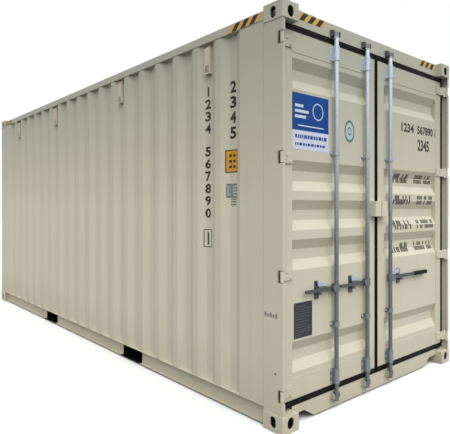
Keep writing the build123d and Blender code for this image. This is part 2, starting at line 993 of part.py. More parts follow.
finish(roof_corner_plates(), "roof_corner_plates")
finish(floor_boards(), "floor_boards")
finish(cross_members(), "cross_members")
finish(forklift_pockets(), "forklift_pockets")
finish(ventilators(), "ventilators")
finish(cam_keepers(), "cam_keepers")
finish(rod_brackets((0, 1)), "left_rod_brackets")
finish(rod_brackets((2,)), "right_rod_brackets")
finish(handle_retainers((0, 1)), "left_handle_retainers")
finish(handle_retainers((2,)), "right_handle_retainers")
for rod in range(len(rod_places)):
    finish(lock_rod(rod), "lock_rod_" + str(rod + 1))
    finish(lock_handle(rod), "lock_handle_" + str(rod + 1))
finish(handle_grip(2), "handle_grip")
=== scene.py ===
import json
import math
import random

import bmesh
import bpy
from mathutils import Matrix, Vector


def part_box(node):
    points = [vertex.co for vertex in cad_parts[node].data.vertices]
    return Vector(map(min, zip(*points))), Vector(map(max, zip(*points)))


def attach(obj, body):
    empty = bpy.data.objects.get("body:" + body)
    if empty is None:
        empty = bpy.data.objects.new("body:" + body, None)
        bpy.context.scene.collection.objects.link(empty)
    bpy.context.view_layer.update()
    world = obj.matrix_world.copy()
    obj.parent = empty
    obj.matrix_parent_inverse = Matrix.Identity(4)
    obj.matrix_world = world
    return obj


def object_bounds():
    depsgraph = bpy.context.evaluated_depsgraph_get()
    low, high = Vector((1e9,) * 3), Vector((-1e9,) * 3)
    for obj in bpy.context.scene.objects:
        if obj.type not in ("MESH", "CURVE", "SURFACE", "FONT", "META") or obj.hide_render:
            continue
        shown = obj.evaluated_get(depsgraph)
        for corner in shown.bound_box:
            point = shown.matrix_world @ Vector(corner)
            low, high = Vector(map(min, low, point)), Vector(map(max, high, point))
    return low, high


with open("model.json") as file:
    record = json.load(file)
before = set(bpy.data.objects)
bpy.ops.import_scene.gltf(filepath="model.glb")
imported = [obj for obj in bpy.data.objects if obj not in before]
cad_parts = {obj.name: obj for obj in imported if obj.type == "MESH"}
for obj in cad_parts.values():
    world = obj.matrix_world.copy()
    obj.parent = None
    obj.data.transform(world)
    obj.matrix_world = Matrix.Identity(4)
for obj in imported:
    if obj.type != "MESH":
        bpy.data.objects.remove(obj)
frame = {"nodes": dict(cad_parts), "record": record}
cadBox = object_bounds()
nodes = frame["nodes"]
mm = 0.001
random.seed(7)  # the same small variations in every run
print("frame loaded:", len(nodes), "nodes")

# all sizes below are in mm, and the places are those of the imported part
box = {
    "rear": cadBox[1].x / mm,  # outer plane of the door end
    "side": cadBox[1].y / mm,  # outer plane of a long side
    "top": cadBox[1].z / mm,
    "postInset": 4,            # posts and rails stand this far inside the castings
    "doorPlane": 60,           # door frames and header, inward from the rear plane
    "panelPlane": 62,          # sheet of the doors, inward from the rear plane
    "wallPlane": 8,            # sheet of the side walls, inward from the side plane
}
casting = {
    "size": (178, 162, 118),
    "shadeStarts": 4,           # depth in a hole at which the painted shade starts
    "darkFrom": 12,
    "dark": "#23211D",
}
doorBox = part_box("left_door_frame")
doorLow = doorBox[0].z / mm
doorHigh = doorBox[1].z / mm
doorMiddle = (doorLow + doorHigh) / 2
hingeRow = {"fromBottom": 68, "fromTop": 86, "count": 4}
hingeSpan = doorHigh - hingeRow["fromTop"] - doorLow - hingeRow["fromBottom"]
hingeHeights = [doorLow + hingeRow["fromBottom"] + hingeSpan * i / (hingeRow["count"] - 1)
                for i in range(hingeRow["count"])]
rodPlaces = [("left_door", -585), ("left_door", -172), ("right_door", 178)]
handSides = {"left_door": -1, "right_door": 1}


def linear(hexColour):
    channels = [int(hexColour[i:i + 2], 16) / 255 for i in (1, 3, 5)]
    return tuple(c / 12.92 if c <= 0.04045 else ((c + 0.055) / 1.055) ** 2.4 for c in channels) + (1.0,)


def addNode(tree, kind, settings=None, inputs=None, links=None):
    node = tree.nodes.new(kind)
    for name, value in (settings or {}).items():
        setattr(node, name, value)
    for name, value in (inputs or {}).items():
        node.inputs[name].default_value = value
    for name, socket in (links or {}).items():
        tree.links.new(socket, node.inputs[name])
    return node


def startMaterial(name):
    material = bpy.data.materials.new(name)
    material.use_nodes = True
    tree = material.node_tree
    tree.nodes.clear()
    place = addNode(tree, "ShaderNodeTexCoord").outputs["Object"]
    return material, tree, place


def endMaterial(tree, shader):
    addNode(tree, "ShaderNodeOutputMaterial", links={"Surface": shader})


def perMetre(sizeMm):
    return 1000 / sizeMm


paint = {
    "base": "#C4BFA9",       # cream beige
    "faded": "#CCC7B4",
    "dust": "#A69A80",
    "chip": "#5A4A3A",
    "roofShade": "#9D9E90",      # painted shade: greyer and darker towards the roof, where less light falls
    "patchMm": 900,          # fading in broad patches
    "streakMm": 90,          # run-off streaks
    "peelMm": 9,             # orange peel, drawn coarser than the real 2 mm so that it shows
    "chipMm": 14,
    "streakShare": 0.16,
    "splashTop": 500,        # height that road splash reaches
    "splashShare": 0.34,
    "roofShadeLow": 1500,
    "roofShadeHigh": 2750,
    "roofShadeShare": 0.8,
    "edgeRound": 4,          # rounding that the eye sees at a bend
}


def castingDepth(tree, place):
    # how deep a spot lies inside its corner casting, measured from the nearest outer plane
    corner = Vector((box["rear"], box["side"], box["top"] / 2)) * mm
    half = Vector(casting["size"]) / 2 * mm
    vector, less = "ShaderNodeVectorMath", {"operation": "SUBTRACT"}
    fromMiddle = addNode(tree, vector, less, {1: (0, 0, corner.z)}, {0: place})
    oneCorner = addNode(tree, vector, {"operation": "ABSOLUTE"}, links={0: fromMiddle.outputs[0]})
    fromCentre = addNode(tree, vector, less, {1: corner - half}, {0: oneCorner.outputs[0]})
    oneSide = addNode(tree, vector, {"operation": "ABSOLUTE"}, links={0: fromCentre.outputs[0]})
    inward = addNode(tree, vector, less, {0: half}, {1: oneSide.outputs[0]})
    parts = addNode(tree, "ShaderNodeSeparateXYZ", links={"Vector": inward.outputs[0]})
    level = addNode(tree, "ShaderNodeMath", {"operation": "MINIMUM"},
                    links={0: parts.outputs["X"], 1: parts.outputs["Y"]})
    return addNode(tree, "ShaderNodeMath", {"operation": "MINIMUM"},
                   links={0: level.outputs["Value"], 1: parts.outputs["Z"]})


def satinMarinePaint(name, weldRipple=False, hollow=False):
    # rubber-based marine paint sprayed on blasted steel: satin, a little chalky, chipped at the edges,
    # with dusty run-off streaks, road splash low down and painted shade that greys it towards the roof
    material, tree, place = startMaterial(name)
    patches = addNode(tree, "ShaderNodeTexNoise",
                      inputs={"Scale": perMetre(paint["patchMm"]), "Detail": 3.0}, links={"Vector": place})
    base = addNode(tree, "ShaderNodeMix", {"data_type": "RGBA"},
                   {"A": linear(paint["base"]), "B": linear(paint["faded"])},
                   {"Factor": patches.outputs["Fac"]})
    stretched = addNode(tree, "ShaderNodeMapping", inputs={"Scale": (1.0, 1.0, 0.06)},
                        links={"Vector": place})
    streaks = addNode(tree, "ShaderNodeTexNoise",
                      inputs={"Scale": perMetre(paint["streakMm"]), "Detail": 5.0, "Roughness": 0.6},
                      links={"Vector": stretched.outputs["Vector"]})
    streakMask = addNode(tree, "ShaderNodeMapRange",
                         inputs={"From Min": 0.52, "From Max": 0.78, "To Max": paint["streakShare"]},
                         links={"Value": streaks.outputs["Fac"]})
    streaked = addNode(tree, "ShaderNodeMix", {"data_type": "RGBA"}, {"B": linear(paint["dust"])},
                       {"Factor": streakMask.outputs["Result"], "A": base.outputs[2]})
    height = addNode(tree, "ShaderNodeSeparateXYZ", links={"Vector": place})
    splash = addNode(tree, "ShaderNodeMapRange",
                     inputs={"From Min": paint["splashTop"] * mm, "From Max": 0.0,
                             "To Max": paint["splashShare"]},
                     links={"Value": height.outputs["Z"]})
    splashed = addNode(tree, "ShaderNodeMix", {"data_type": "RGBA"}, {"B": linear(paint["dust"])},
                       {"Factor": splash.outputs["Result"], "A": streaked.outputs[2]})
    # painted shade: the colour greys and darkens with height, standing in for the weaker light towards the
    # roof
    roofShadeMask = addNode(tree, "ShaderNodeMapRange",
                   inputs={"From Min": paint["roofShadeLow"] * mm, "From Max": paint["roofShadeHigh"] * mm,
                           "To Max": paint["roofShadeShare"]},
                   links={"Value": height.outputs["Z"]})
    roofShaded = addNode(tree, "ShaderNodeMix", {"data_type": "RGBA"}, {"B": linear(paint["roofShade"])},
                     {"Factor": roofShadeMask.outputs["Result"], "A": splashed.outputs[2]})
    # chips where two planes meet: the rounded normal leaves the true one only at an edge
    rounded = addNode(tree, "ShaderNodeBevel", {"samples": 4}, {"Radius": paint["edgeRound"] * mm})
    true = addNode(tree, "ShaderNodeNewGeometry")
    bend = addNode(tree, "ShaderNodeVectorMath", {"operation": "DOT_PRODUCT"},
                   links={0: rounded.outputs["Normal"], 1: true.outputs["Normal"]})
    speckle = addNode(tree, "ShaderNodeTexNoise",
                      inputs={"Scale": perMetre(paint["chipMm"]), "Detail": 4.0}, links={"Vector": place})
    onEdge = addNode(tree, "ShaderNodeMapRange", inputs={"From Min": 0.96, "From Max": 0.80},
                     links={"Value": bend.outputs["Value"]})
    sparse = addNode(tree, "ShaderNodeMapRange", inputs={"From Min": 0.60, "From Max": 0.66},
                     links={"Value": speckle.outputs["Fac"]})
    chips = addNode(tree, "ShaderNodeMath", {"operation": "MULTIPLY"},
                    links={0: onEdge.outputs["Result"], 1: sparse.outputs["Result"]})
    colour = addNode(tree, "ShaderNodeMix", {"data_type": "RGBA"}, {"B": linear(paint["chip"])},
                     {"Factor": chips.outputs["Value"], "A": roofShaded.outputs[2]})
    # painted shade: near-black deep inside the casting holes, where the hollow lies in shade
    if hollow:
        depth = castingDepth(tree, place)
        holeShade = addNode(tree, "ShaderNodeMapRange",
                       inputs={"From Min": casting["shadeStarts"] * mm, "From Max": casting["darkFrom"] * mm},
                       links={"Value": depth.outputs["Value"]})
        colour = addNode(tree, "ShaderNodeMix", {"data_type": "RGBA"}, {"B": linear(casting["dark"])},
                         {"Factor": holeShade.outputs["Result"], "A": colour.outputs[2]})
    gloss = addNode(tree, "ShaderNodeMapRange", inputs={"To Min": 0.42, "To Max": 0.62},
                    links={"Value": streaks.outputs["Fac"]})
    peel = addNode(tree, "ShaderNodeTexNoise", inputs={"Scale": perMetre(paint["peelMm"]), "Detail": 2.0},
                   links={"Vector": place})
    skin = addNode(tree, "ShaderNodeBump", inputs={"Strength": 0.12, "Distance": 0.0006},
                   links={"Height": peel.outputs["Fac"], "Normal": rounded.outputs["Normal"]})
    dents = addNode(tree, "ShaderNodeBump", inputs={"Strength": 0.10, "Distance": 0.012},
                    links={"Height": patches.outputs["Fac"], "Normal": skin.outputs["Normal"]})
    normal = dents.outputs["Normal"]
    if weldRipple:
        ripple = addNode(tree, "ShaderNodeTexNoise", inputs={"Scale": perMetre(12), "Detail": 1.0},
                         links={"Vector": place})
        normal = addNode(tree, "ShaderNodeBump", inputs={"Strength": 0.8, "Distance": 0.002},
                         links={"Height": ripple.outputs["Fac"], "Normal": normal}).outputs["Normal"]
    shader = addNode(tree, "ShaderNodeBsdfPrincipled", inputs={"IOR": 1.5, "Specular IOR Level": 0.35},
                     links={"Base Color": colour.outputs[2], "Roughness": gloss.outputs["Result"],
                            "Normal": normal})
    endMaterial(tree, shader.outputs["BSDF"])
    return material


zinc = {
    "bright": "#C4CED5",     # upper part, lighter
    "dull": "#5D6366",       # lower part, darker
    "dullHeight": 1100,
    "brightHeight": 2800,
    "greaseAndShadeLow": 2775,       # the cams in the header keepers are darkened, as grease and as painted shade of the keeper lips
    "greaseAndShadeHigh": 2790,
    "greaseAndShadeShare": 0.85,
    "greaseAndShade": "#4A4D4C",
    "spangleMm": 12,
    "wearMm": 70,
    "edgeRound": 2,
}


def hotDipZinc(name, light, dark, metallic):
    # steel dipped in molten zinc: faint grey crystals, lighter high up and darker low down, and darkened at
    # the header as grease and painted shade
    material, tree, place = startMaterial(name)
    spangle = addNode(tree, "ShaderNodeTexVoronoi", inputs={"Scale": perMetre(zinc["spangleMm"])},
                      links={"Vector": place})
    tone = addNode(tree, "ShaderNodeSeparateXYZ", links={"Vector": spangle.outputs["Color"]})
    height = addNode(tree, "ShaderNodeSeparateXYZ", links={"Vector": place})
    towardsTop = addNode(tree, "ShaderNodeMapRange",
                    inputs={"From Min": zinc["dullHeight"] * mm, "From Max": zinc["brightHeight"] * mm},
                    links={"Value": height.outputs["Z"]})
    clouds = addNode(tree, "ShaderNodeTexNoise", inputs={"Scale": perMetre(zinc["wearMm"]), "Detail": 4.0},
                     links={"Vector": place})
    grain = addNode(tree, "ShaderNodeMath", {"operation": "MULTIPLY_ADD"}, {1: 0.12, 2: -0.06},
                    {0: tone.outputs["X"]})
    share = addNode(tree, "ShaderNodeMath", {"operation": "ADD", "use_clamp": True},
                    links={0: towardsTop.outputs["Result"], 1: grain.outputs["Value"]})
    heightTone = addNode(tree, "ShaderNodeMix", {"data_type": "RGBA"}, {"A": linear(dark), "B": linear(light)},
                    {"Factor": share.outputs["Value"]})
    # grease and painted shade: everything above the header line darkens, standing in for the shade inside the
    # keepers
    greaseAndShadeMask = addNode(tree, "ShaderNodeMapRange",
                     inputs={"From Min": zinc["greaseAndShadeLow"] * mm, "From Max": zinc["greaseAndShadeHigh"] * mm,
                             "To Max": zinc["greaseAndShadeShare"]},
                     links={"Value": height.outputs["Z"]})
    colour = addNode(tree, "ShaderNodeMix", {"data_type": "RGBA"}, {"B": linear(zinc["greaseAndShade"])},
                     {"Factor": greaseAndShadeMask.outputs["Result"], "A": heightTone.outputs[2]})
    gloss = addNode(tree, "ShaderNodeMapRange", inputs={"To Min": 0.38, "To Max": 0.6},
                    links={"Value": clouds.outputs["Fac"]})
    rounded = addNode(tree, "ShaderNodeBevel", {"samples": 4}, {"Radius": zinc["edgeRound"] * mm})
    bump = addNode(tree, "ShaderNodeBump", inputs={"Strength": 0.15, "Distance": 0.0008},
                   links={"Height": clouds.outputs["Fac"], "Normal": rounded.outputs["Normal"]})
    shader = addNode(tree, "ShaderNodeBsdfPrincipled", inputs={"Metallic": metallic},
                     links={"Base Color": colour.outputs[2], "Roughness": gloss.outputs["Result"],
                            "Normal": bump.outputs["Normal"]})
    endMaterial(tree, shader.outputs["BSDF"])
    return material


def extrudedRubber(name, colour, dusty, dustShare):
    # sealing rubber pushed through a die, or a bitumen coat: matt black, with dust in patches
    material, tree, place = startMaterial(name)
    film = addNode(tree, "ShaderNodeTexNoise", inputs={"Scale": perMetre(120), "Detail": 5.0},
                   links={"Vector": place})
    share = addNode(tree, "ShaderNodeMapRange",
                    inputs={"From Min": 0.4, "From Max": 0.8, "To Max": dustShare},
                    links={"Value": film.outputs["Fac"]})
    tint = addNode(tree, "ShaderNodeMix", {"data_type": "RGBA"}, {"A": linear(colour), "B": linear(dusty)},
                   {"Factor": share.outputs["Result"]})
    grain = addNode(tree, "ShaderNodeTexNoise", inputs={"Scale": perMetre(5), "Detail": 2.0},
                    links={"Vector": place})
    bump = addNode(tree, "ShaderNodeBump", inputs={"Strength": 0.2, "Distance": 0.0004},
                   links={"Height": grain.outputs["Fac"]})
    shader = addNode(tree, "ShaderNodeBsdfPrincipled", inputs={"Roughness": 0.62, "Specular IOR Level": 0.08},
                     links={"Base Color": tint.outputs[2], "Normal": bump.outputs["Normal"]})
    endMaterial(tree, shader.outputs["BSDF"])
    return material


def oiledPlywood(name):
    # 28 mm hardwood ply, oiled: red-brown, with long grain and worn paler lanes
    material, tree, place = startMaterial(name)
    along = addNode(tree, "ShaderNodeMapping", inputs={"Scale": (0.05, 1.0, 1.0)}, links={"Vector": place})
    grain = addNode(tree, "ShaderNodeTexNoise",
                    inputs={"Scale": perMetre(18), "Detail": 6.0, "Roughness": 0.65},
                    links={"Vector": along.outputs["Vector"]})
    wear = addNode(tree, "ShaderNodeTexNoise", inputs={"Scale": perMetre(600), "Detail": 3.0},
                   links={"Vector": place})
    wood = addNode(tree, "ShaderNodeMix", {"data_type": "RGBA"},
                   {"A": linear("#6E4A30"), "B": linear("#96704C")}, {"Factor": grain.outputs["Fac"]})
    worn = addNode(tree, "ShaderNodeMapRange", inputs={"From Min": 0.45, "From Max": 0.75, "To Max": 0.5},
                   links={"Value": wear.outputs["Fac"]})
    colour = addNode(tree, "ShaderNodeMix", {"data_type": "RGBA"}, {"B": linear("#A58A68")},
                     {"Factor": worn.outputs["Result"], "A": wood.outputs[2]})
    bump = addNode(tree, "ShaderNodeBump", inputs={"Strength": 0.3, "Distance": 0.0006},
                   links={"Height": grain.outputs["Fac"]})
    shader = addNode(tree, "ShaderNodeBsdfPrincipled", inputs={"Roughness": 0.6},
                     links={"Base Color": colour.outputs[2], "Normal": bump.outputs["Normal"]})
    endMaterial(tree, shader.outputs["BSDF"])
    return material


def printedFilm(name, colour, fade):
    # self-adhesive vinyl or stencilled paint: even colour, a little dust and fading in patches
    material, tree, place = startMaterial(name)
    patches = addNode(tree, "ShaderNodeTexNoise", inputs={"Scale": perMetre(60), "Detail": 4.0},
                      links={"Vector": place})
    share = addNode(tree, "ShaderNodeMapRange", inputs={"From Min": 0.4, "From Max": 0.8, "To Max": fade},
                    links={"Value": patches.outputs["Fac"]})
    tint = addNode(tree, "ShaderNodeMix", {"data_type": "RGBA"},
                   {"A": linear(colour), "B": linear(paint["faded"])}, {"Factor": share.outputs["Result"]})
    shader = addNode(tree, "ShaderNodeBsdfPrincipled",
                     inputs={"Roughness": 0.5, "Specular IOR Level": 0.15},
                     links={"Base Color": tint.outputs[2]})
    endMaterial(tree, shader.outputs["BSDF"])
    return material


creamPaint = satinMarinePaint("cream satin marine paint")
castingPaint = satinMarinePaint("cast steel with painted shade in its holes", hollow=True)
weldPaint = satinMarinePaint("painted weld bead", weldRipple=True)
zincLight = hotDipZinc("hot-dip galvanised steel", zinc["bright"], zinc["dull"], 0.4)
zincBright = hotDipZinc("fresh galvanised steel", "#C4CDD8", "#A9B4C2", 0.3)
zincPlate = hotDipZinc("galvanised pressed plate", "#B4C1CC", "#757D80", 0.3)
zincDark = hotDipZinc("weathered galvanised steel", "#4C5052", "#3E4346", 0.4)
# the upper keepers are dark with grease and with painted shade of their lips; the lower ones are
# cream-painted
zincKeeper = hotDipZinc("keeper casting, greasy above and painted below", "#3F4244", "#A8A594", 0.1)
gasketRubber = extrudedRubber("extruded sealing rubber", "#080807", "#24231F", 0.4)
gripSleeve = extrudedRubber("dipped vinyl sleeve", "#101012", "#2A2A2A", 0.3)
ventPlastic = printedFilm("moulded vent plastic", "#BEB6A5", 0.2)
floorPly = oiledPlywood("oiled marine plywood")
blackFilm = printedFilm("black stencil paint", "#1E1F1E", 0.06)
whiteFilm = printedFilm("white vinyl film", "#C6CEDC", 0.05)
blueFilm = printedFilm("blue vinyl film", "#0B4084", 0.0)
fadedBlueFilm = printedFilm("faded blue vinyl film", "#466E88", 0.1)
paleFilm = printedFilm("pale grey vinyl film", "#B9C0BE", 0.1)
yellowFilm = printedFilm("amber vinyl film", "#CFA04A", 0.12)
orangeFilm = printedFilm("orange vinyl film", "#C98F2B", 0.06)
greyFilm = printedFilm("grey printed film", "#6C6C68", 0.15)
plateFilm = printedFilm("etched steel plate", "#33353A", 0.0)
# near-black: a bitumen coat, which also stands as painted shade inside the forklift pocket tunnels
bitumenAndShade = extrudedRubber("bitumen undercoat with painted tunnel shade", "#050505", "#141312", 0.3)
plateLines = printedFilm("etched lettering", "#55585E", 0.0)
print("materials made")

finishes = {
    "gasket": gasketRubber, "zinc": zincLight, "grip": gripSleeve, "plywood": floorPly,
    "vent": ventPlastic, "painted_steel": creamPaint,
}
# nodes that look unlike the rest of their slot
special = {
    "lower_corner_castings": castingPaint, "upper_corner_castings": castingPaint,
    "forklift_pockets": bitumenAndShade, "cam_keepers": zincKeeper,
    "left_rod_brackets": zincPlate, "right_rod_brackets": zincPlate,
    "left_handle_retainers": zincDark, "right_handle_retainers": zincDark,
    "lock_handle_1": zincDark, "lock_handle_2": zincDark, "lock_handle_3": zincDark,
}
for part in frame["record"]["subparts"]:
    node = nodes[part["node"]]
    node.data.materials.clear()
    node.data.materials.append(special.get(part["node"], finishes[part["material_slot"]]))
print("frame dressed")


def newObject(name, shape, material):
    mesh = bpy.data.meshes.new(name)
    shape.to_mesh(mesh)
    shape.free()
    mesh.materials.append(material)
    made = bpy.data.objects.new(name, mesh)
    bpy.context.scene.collection.objects.link(made)
    return made


def newPiece(name, shape, body, material):
    piece = newObject(name, shape, material)
    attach(piece, body)


# pressed recesses of the doors and the corrugated walls
recess = {
    "flat": 72, "slope": 70, "depth": 36,
    "doorEnd": 290, "doorPitch": 277, "wallPitch": 278,
}
doorRecesses = [doorLow + recess["doorEnd"], doorMiddle - recess["doorPitch"], doorMiddle,
                doorMiddle + recess["doorPitch"], doorHigh - recess["doorEnd"]]
wallRecesses = [recess["wallPitch"] * k for k in range(-9, 10)]


def recessDepth(along, middles):
    near = min(abs(along - middle) for middle in middles)
    return recess["depth"] * min(1, max(0, (recess["flat"] / 2 + recess["slope"] - near) / recess["slope"]))


def onDoor(shape, proud, plane=None):
    # flat work drawn in x = across, y = up goes on the door end, following the pressed recesses
    level = box["panelPlane"] if plane is None else plane
    for vert in shape.verts:
        across, up = vert.co.x / mm, vert.co.y / mm
        sunk = recessDepth(up, doorRecesses) if plane is None else 0
        vert.co = Vector(((box["rear"] - level - sunk + proud) * mm, across * mm, up * mm))


def onSide(shape, proud, plane=None):
    level = box["wallPlane"] if plane is None else plane
    for vert in shape.verts:
        along, up = vert.co.x / mm, vert.co.y / mm
        sunk = recessDepth(along, wallRecesses) if plane is None else 0
        vert.co = Vector((along * mm, -(box["side"] - level - sunk + proud) * mm, up * mm))


def cutAt(shape, axis, middles):
    # new edges at the bends, so that flat work can follow them
    half = recess["flat"] / 2
    reach = half + recess["slope"]
    for middle in middles:
        for offset in (-reach, -half, half, reach):
            point = [0, 0, 0]
            point[axis] = (middle + offset) * mm
            normal = [0, 0, 0]
            normal[axis] = 1
            bmesh.ops.bisect_plane(shape, geom=shape.verts[:] + shape.edges[:] + shape.faces[:],
                                   plane_co=point, plane_no=normal)


def facingOut(shape, outward):
    # flat work has one side only, so each face is turned to look away from the wall
    shape.normal_update()
    wrong = [face for face in shape.faces if face.normal.dot(Vector(outward)) < 0]
    bmesh.ops.reverse_faces(shape, faces=wrong)


def addPatch(shape, low, high, lowUp, highUp, lean=0):
    # a flat rectangle in the drawing plane, or a leaning one
    spot = Matrix.Translation(((low + high) / 2 * mm, (lowUp + highUp) / 2 * mm, 0))
    size = Matrix.Diagonal(((high - low) * mm, (highUp - lowUp) * mm, 1, 1))
    made = bmesh.ops.create_grid(shape, x_segments=1, y_segments=1, size=0.5, matrix=spot @ size)
    middle = (lowUp + highUp) / 2 * mm
    for vert in made["verts"]:
        vert.co.x += lean * (vert.co.y - middle)


def drawPatches(rows):
    shape = bmesh.new()
    for row in rows:
        addPatch(shape, *row)
    return shape


def addRing(shape, across, up, outer, inner):
    made = bmesh.ops.create_circle(shape, cap_ends=True, segments=40, radius=outer * mm,
                                   matrix=Matrix.Translation((across * mm, up * mm, 0)))
    if inner:
        faces = list({face for vert in made["verts"] for face in vert.link_faces})
        rim = bmesh.ops.inset_region(shape, faces=faces, thickness=(outer - inner) * mm, use_boundary=True,
                                     use_even_offset=True)
        middle = [face for face in faces if face.is_valid and face not in rim["faces"]]
        bmesh.ops.delete(shape, geom=middle, context="FACES")


def addRod(shape, start, end, radius, sides=8, endRadius=None):
    first, last = Vector(start) * mm, Vector(end) * mm
    line = last - first
    turn = line.to_track_quat("Z", "Y").to_matrix().to_4x4()
    far = radius if endRadius is None else endRadius
    bmesh.ops.create_cone(shape, cap_ends=True, segments=sides, radius1=radius * mm, radius2=far * mm,
                          depth=line.length, matrix=Matrix.Translation((first + last) / 2) @ turn)


def addBlock(shape, low, high, rounding=0):
    middle = (Vector(low) + Vector(high)) / 2 * mm
    size = (Vector(high) - Vector(low)) * mm
    made = bmesh.ops.create_cube(shape, size=1,
                                 matrix=Matrix.Translation(middle) @ Matrix.Diagonal((*size, 1)))
    if rounding:
        edges = list({edge for vert in made["verts"] for edge in vert.link_edges})
        bmesh.ops.bevel(shape, geom=edges, offset=rounding * mm, offset_type="OFFSET", affect="EDGES",
                        segments=2, profile=0.5, material=-1)


def addBolt(shape, place, outward, headRadius, headHeight, washer=1.5):
    # a washer with a hexagon head on it
    point, way = Vector(place), Vector(outward)
    seat = point + way * washer
    addRod(shape, point, seat, headRadius * 1.35, 16)
    addRod(shape, seat, seat + way * headHeight, headRadius, 6, headRadius * 0.86)


def addRivet(shape, place, outward, radius, height):
    # a round head, straight below and tapered above
    point, way = Vector(place), Vector(outward)
    addRod(shape, point, point + way * height * 0.45, radius, 12)
    addRod(shape, point + way * height * 0.45, point + way * height, radius, 12, radius * 0.5)


def numeralMesh(text):
    curve = bpy.data.curves.new("numerals", "FONT")
    curve.body = text
    curve.offset = 0.032  # heavier strokes, as a stencil gives
    curve.align_x = "CENTER"
    curve.align_y = "CENTER"
    curve.resolution_u = 3
    holder = bpy.data.objects.new("numerals", curve)
    bpy.context.scene.collection.objects.link(holder)
    mesh = bpy.data.meshes.new_from_object(holder.evaluated_get(bpy.context.evaluated_depsgraph_get()))
    shape = bmesh.new()
    shape.from_mesh(mesh)
    bpy.data.objects.remove(holder)
    bpy.data.curves.remove(curve)
    bpy.data.meshes.remove(mesh)
    return shape


def joinShapes(shapes):
    joined = bmesh.new()
    for shape in shapes:
        mesh = bpy.data.meshes.new("joining")
        shape.to_mesh(mesh)
        shape.free()
        joined.from_mesh(mesh)
        bpy.data.meshes.remove(mesh)
    return joined


def placedNumerals(text, low, high, foot, head):
    # numerals drawn to fill a rectangle
    shape = numeralMesh(text)
    xs = [vert.co.x for vert in shape.verts]
    ys = [vert.co.y for vert in shape.verts]
    size = ((high - low) * mm / (max(xs) - min(xs)), (head - foot) * mm / (max(ys) - min(ys)), 1)
    bmesh.ops.translate(shape, vec=(-min(xs), -min(ys), 0), verts=shape.verts)
    bmesh.ops.scale(shape, vec=size, verts=shape.verts)
    bmesh.ops.translate(shape, vec=(low * mm, foot * mm, 0), verts=shape.verts)
    return shape


weld = {
    "radius": 3.5, "seamRadius": 3.0, "panelRadius": 2.4,
    "postPlane": 5, "postAcross": (6, 28),       # inward from the rear and side planes
    "headerLip": 42, "sillUp": (80, 117), "topGap": 8,
    "panelEnd": 143, "panelAcross": (122, 1056), "panelProud": 0.4,
}


def makeWelds():
    rear, side, top = box["rear"], box["side"], box["top"]
    castingLong, castingWide, castingHigh = casting["size"]
    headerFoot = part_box("door_header")[0].z / mm + weld["headerLip"]
    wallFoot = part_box("left_side_wall")[0].z / mm
    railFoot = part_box("top_side_rails")[0].z / mm
    edge, inset = rear - castingLong, box["postInset"]
    shape = bmesh.new()
    for hand in (-1, 1):
        face, wall = hand * (side - inset), hand * (side - box["wallPlane"])
        inner = hand * (side - castingWide)
        outside, inside = [hand * (side - across) for across in weld["postAcross"]]
        x = rear - weld["postPlane"]
        for height in (castingHigh, top - castingHigh):
            for end in (-1, 1):
                far = end * (rear - inset)
                addRod(shape, (end * edge, face, height), (far, face, height), weld["radius"])
            addRod(shape, (x, outside, height), (x, inside, height), weld["radius"])
        for end in (-1, 1):
            addRod(shape, (end * edge, wall, wallFoot), (end * edge, wall, railFoot), weld["seamRadius"])
        addRod(shape, (-edge, wall, railFoot), (edge, wall, railFoot), weld["seamRadius"])
        x = rear - box["doorPlane"]
        for low, high in ((headerFoot, top - weld["topGap"]), weld["sillUp"]):
            addRod(shape, (x, inner, low), (x, inner, high), weld["radius"])
    newPiece("frameWelds", shape, "root", weldPaint)
    for door, hand in handSides.items():
        shape = bmesh.new()
        near, far = [hand * across for across in weld["panelAcross"]]
        x = rear - box["panelPlane"] + weld["panelProud"]
        for height in (doorLow + weld["panelEnd"], doorHigh - weld["panelEnd"]):
            addRod(shape, (x, near, height), (x, far, height), weld["panelRadius"])
        newPiece(door + "PanelWelds", shape, door, weldPaint)


makeWelds()
print("welds made")

hinge = {
    "bladePlane": 51, "boltFromSide": 104, "boltStagger": 30, "boltLift": 20, "boltRadius": 9,
    "boltHeight": 6,
    "pinPlane": 21, "pinFromSide": 18, "pinReach": 55, "pinRadius": 8, "pinHeight": 4,
}


def makeHingeBolts():
    for door, hand in handSides.items():
        shape = bmesh.new()
        for height in hingeHeights:
            for lift, back in ((hinge["boltLift"], 0), (-hinge["boltLift"], hinge["boltStagger"])):
                spot = (box["rear"] - hinge["bladePlane"],
                        hand * (box["side"] - hinge["boltFromSide"] - back), height + lift)
                addRivet(shape, spot, (1, 0, 0), hinge["boltRadius"], hinge["boltHeight"])
        newPiece(door + "HingeBolts", shape, door, creamPaint)
    shape = bmesh.new()
    for hand in (-1, 1):
        for height in hingeHeights:
            for end in (-1, 1):
                spot = (box["rear"] - hinge["pinPlane"], hand * (box["side"] - hinge["pinFromSide"]),
                        height + end * hinge["pinReach"])
                addRivet(shape, spot, (0, 0, end), hinge["pinRadius"], hinge["pinHeight"])
    newPiece("hingePinHeads", shape, "root", zincDark)


notch = {"back": 62, "thick": 4, "outer": 8, "inner": 46, "reach": 52}


def makeNotchBacks():
    # plates that close the post behind each hinge notch
    shape = bmesh.new()
    for hand in (-1, 1):
        for height in hingeHeights:
            ends = sorted((hand * (box["side"] - notch["outer"]), hand * (box["side"] - notch["inner"])))
            addBlock(shape, (box["rear"] - notch["back"] - notch["thick"], ends[0], height - notch["reach"]),
                     (box["rear"] - notch["back"], ends[1], height + notch["reach"]))
    newPiece("notchBacks", shape, "root", creamPaint)


pocket = {"places": (-1025, 1025), "half": 180, "outer": 22, "inner": 57, "foot": 17, "head": 22}


